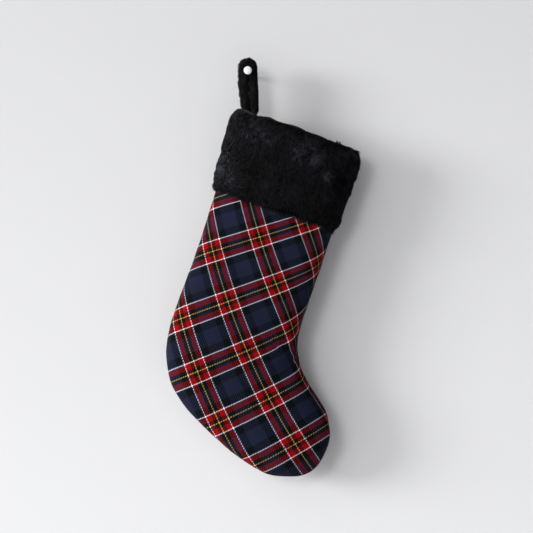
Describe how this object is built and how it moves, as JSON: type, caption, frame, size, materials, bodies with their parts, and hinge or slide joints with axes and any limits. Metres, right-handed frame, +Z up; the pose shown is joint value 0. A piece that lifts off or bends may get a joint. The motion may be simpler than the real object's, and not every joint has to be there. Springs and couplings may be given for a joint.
{
  "type": "hanging stocking",
  "caption": "Plaid cloth stocking, lined and open at the mouth, with a deep black faux-fur cuff and a fur loop that hangs it from a peg.",
  "frame": {"origin": "centre of the eye that the hanging loop makes round a peg", "axes": "+Z up, +X from the heel side to the toe side, +Y towards the wall it hangs against and along the peg"},
  "size_m": [0.2726, 0.074, 0.578],
  "materials": {
    "plaid_cloth": "twill plaid in navy and black-green with red, white and yellow lines, cut on the bias",
    "faux_fur": "short dense plush pile, black, soft sheen",
    "lining_cloth": "plain thin lining",
    "black_thread": "sewing thread",
    "seam_thread": "navy sewing thread in a pressed seam"
  },
  "bodies": {
    "loop": {"hanging_loop": "faux_fur", "loop_edge_stitching": "black_thread"},
    "loop_base": {"loop_sewn_ends": "faux_fur", "loop_bartack": "black_thread"},
    "stocking": {"front_panel": "plaid_cloth", "back_panel": "plaid_cloth", "outer_side_seam": "seam_thread", "front_lining": "lining_cloth", "back_lining": "lining_cloth", "lining_side_seam": "lining_cloth", "mouth_seam": "black_thread", "cuff_front": "faux_fur", "cuff_back": "faux_fur", "cuff_side_seams": "faux_fur", "cuff_facing_front": "lining_cloth", "cuff_facing_back": "lining_cloth", "cuff_facing_seams": "lining_cloth"}
  },
  "joints": [
    {"name": "stocking_swing", "type": "hinge", "parent": "loop", "child": "loop_base", "pos_m": [0.0216, 0, -0.066], "axis": [0, 1, 0], "range_deg": [-12, 12]},
    {"name": "stocking_tilt", "type": "hinge", "parent": "loop_base", "child": "stocking", "pos_m": [0.0216, 0, -0.075], "axis": [1, 0, 0], "range_deg": [-12, 0.5]}
  ]
}
